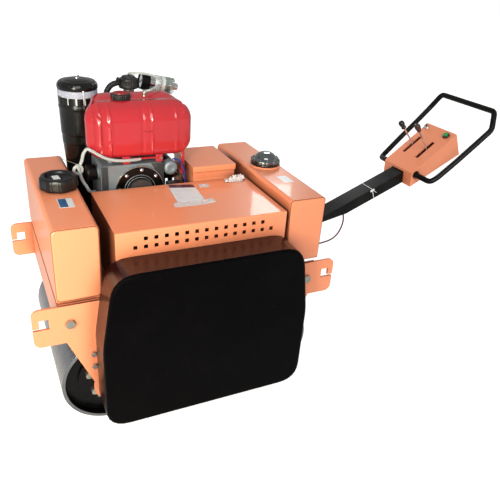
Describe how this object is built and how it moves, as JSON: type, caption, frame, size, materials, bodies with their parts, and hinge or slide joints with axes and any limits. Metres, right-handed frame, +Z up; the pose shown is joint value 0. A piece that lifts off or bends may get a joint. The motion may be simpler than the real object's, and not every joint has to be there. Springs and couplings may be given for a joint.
{
  "type": "tandem vibratory roller",
  "caption": "Walk-behind tandem vibratory roller with smooth steel drums, water tanks, hood, side drive cover, air-cooled engine and a folding steering handle with levers",
  "frame": {"origin": "on the ground under the middle of the whole machine", "axes": "+X from the front water tank to the handle, +Y from the drive cover to the far side, +Z up"},
  "size_m": [2.073, 0.837, 1.164],
  "materials": {
    "orange_paint": "satin paint",
    "red_paint": "gloss paint",
    "green_paint": "satin paint",
    "black_paint": "gloss paint",
    "drum_steel": "rolled steel",
    "machined_steel": "machined",
    "dark_iron": "as cast",
    "engine_aluminium": "die cast",
    "zinc_plate": "zinc plated",
    "black_moulding": "moulded",
    "black_gloss": "moulded, glossy",
    "brown_moulding": "moulded, glossy",
    "green_moulding": "moulded, glossy",
    "clear_bowl": "clear moulding",
    "clear_hose": "clear hose",
    "black_rubber": "moulded rubber",
    "cable_jacket": "extruded jacket"
  },
  "bodies": {
    "frame": {"near_side_plate": "orange_paint", "far_side_plate": "orange_paint", "front_cross_plate": "orange_paint", "rear_cross_beam": "orange_paint", "deck_plate": "orange_paint", "mounting_rails": "orange_paint", "front_water_tank": "orange_paint", "rear_water_tank": "orange_paint", "hood": "orange_paint", "battery_box": "orange_paint", "battery": "black_moulding", "drive_cover": "black_gloss", "bearing_units": "green_paint", "frame_bolts": "zinc_plate", "gearbox": "green_paint", "travel_chains": "dark_iron", "vibrator_belt": "black_rubber", "engine_belt": "black_rubber", "crankcase": "engine_aluminium", "oil_filter": "black_paint", "crank_flange": "black_paint", "fan_shroud": "black_paint", "far_guard": "black_paint", "fuel_tank": "red_paint", "air_cleaner": "black_moulding", "air_cleaner_bowl": "clear_bowl", "intake_hose": "black_rubber", "silencer": "zinc_plate", "starter_motor": "black_paint", "fuel_hose": "clear_hose", "scrapers": "drum_steel", "spray_bars": "zinc_plate", "handle_bracket": "orange_paint", "handle_pin": "zinc_plate", "control_cable": "cable_jacket"},
    "front_drum_body": {"front_drum": "drum_steel", "front_drum_hubs": "dark_iron", "front_drum_sprocket": "dark_iron"},
    "rear_drum_body": {"rear_drum": "drum_steel", "rear_drum_hubs": "dark_iron", "rear_drum_sprocket": "dark_iron"},
    "drive_shaft_body": {"drive_shaft": "machined_steel"},
    "crank_body": {"crankshaft": "machined_steel", "crank_pulley": "dark_iron", "flywheel": "dark_iron"},
    "input_shaft_body": {"gearbox_input_shaft": "machined_steel", "input_pulleys": "dark_iron"},
    "vibrator_body": {"vibrator_shaft": "machined_steel"},
    "handle_body": {"handle_pole": "black_paint", "handle_loop": "black_paint", "control_box": "orange_paint"},
    "travel_lever_body": {"travel_lever": "zinc_plate", "travel_knob": "black_gloss"},
    "throttle_lever_body": {"throttle_lever": "zinc_plate", "throttle_knob": "brown_moulding"},
    "start_button_body": {"start_button": "green_moulding"},
    "key_body": {"key_switch": "zinc_plate"},
    "front_lid_body": {"front_tank_lid": "black_moulding"},
    "rear_lid_body": {"rear_tank_lid": "black_gloss"},
    "fuel_cap_body": {"fuel_cap": "black_moulding"}
  },
  "joints": [
    {"name": "front_drum_spin", "type": "hinge", "parent": "frame", "child": "front_drum_body", "pos_m": [-0.78153, 0.0505, 0.18], "axis": [0, 1, 0], "continuous": true},
    {"name": "rear_drum_spin", "type": "hinge", "parent": "frame", "child": "rear_drum_body", "pos_m": [-0.12753, 0.0505, 0.18], "axis": [0, 1, 0], "continuous": true},
    {"name": "drive_shaft_spin", "type": "hinge", "parent": "frame", "child": "drive_shaft_body", "pos_m": [-0.45453, -0.2545, 0.405], "axis": [0, 1, 0], "continuous": true},
    {"name": "crank_spin", "type": "hinge", "parent": "frame", "child": "crank_body", "pos_m": [-0.55753, 0.1855, 0.768], "axis": [0, 1, 0], "continuous": true},
    {"name": "input_shaft_spin", "type": "hinge", "parent": "frame", "child": "input_shaft_body", "pos_m": [-0.45453, -0.0945, 0.505], "axis": [0, 1, 0], "continuous": true},
    {"name": "vibrator_spin", "type": "hinge", "parent": "frame", "child": "vibrator_body", "pos_m": [-0.78153, 0.0505, 0.18], "axis": [0, 1, 0], "continuous": true},
    {"name": "handle_fold", "type": "hinge", "parent": "frame", "child": "handle_body", "pos_m": [0.08547, 0.0585, 0.475], "axis": [0, -1, 0], "range_deg": [0, 60], "deforming": ["control_cable"]},
    {"name": "travel_lever_swing", "type": "hinge", "parent": "handle_body", "child": "travel_lever_body", "pos_m": [0.83568, 0.1135, 0.81042], "axis": [0, 1, 0], "range_deg": [-18, 34]},
    {"name": "throttle_lever_swing", "type": "hinge", "parent": "handle_body", "child": "throttle_lever_body", "pos_m": [0.83568, 0.0225, 0.81042], "axis": [0, 1, 0], "range_deg": [-35, 30]},
    {"name": "start_button_press", "type": "slide", "parent": "handle_body", "child": "start_button_body", "axis": [0.6074, 0, -0.7944], "range_m": [0, 0.003], "stiffness_N_per_m": 500, "springref_m": -0.001},
    {"name": "key_turn", "type": "hinge", "parent": "handle_body", "child": "key_body", "pos_m": [0.88345, 0.1365, 0.92247], "axis": [-0.6074, 0, 0.7944], "range_deg": [0, 90]},
    {"name": "front_lid_turn", "type": "hinge", "parent": "frame", "child": "front_lid_body", "pos_m": [-0.86693, 0.0574, 0.851], "axis": [0, 0, 1], "range_deg": [0, 90]},
    {"name": "rear_lid_turn", "type": "hinge", "parent": "frame", "child": "rear_lid_body", "pos_m": [-0.02093, 0.08431, 0.851], "axis": [0, 0, 1], "range_deg": [0, 90]},
    {"name": "fuel_cap_turn", "type": "hinge", "parent": "frame", "child": "fuel_cap_body", "pos_m": [-0.59753, 0.2055, 1.11], "axis": [0, 0, 1], "range_deg": [0, 90]}
  ],
  "couplings": [
    {"joint": "rear_drum_spin", "follows": "front_drum_spin", "ratio": 1},
    {"joint": "drive_shaft_spin", "follows": "front_drum_spin", "ratio": 1.3333},
    {"joint": "input_shaft_spin", "follows": "crank_spin", "ratio": 0.67143},
    {"joint": "vibrator_spin", "follows": "crank_spin", "ratio": 0.89524}
  ]
}
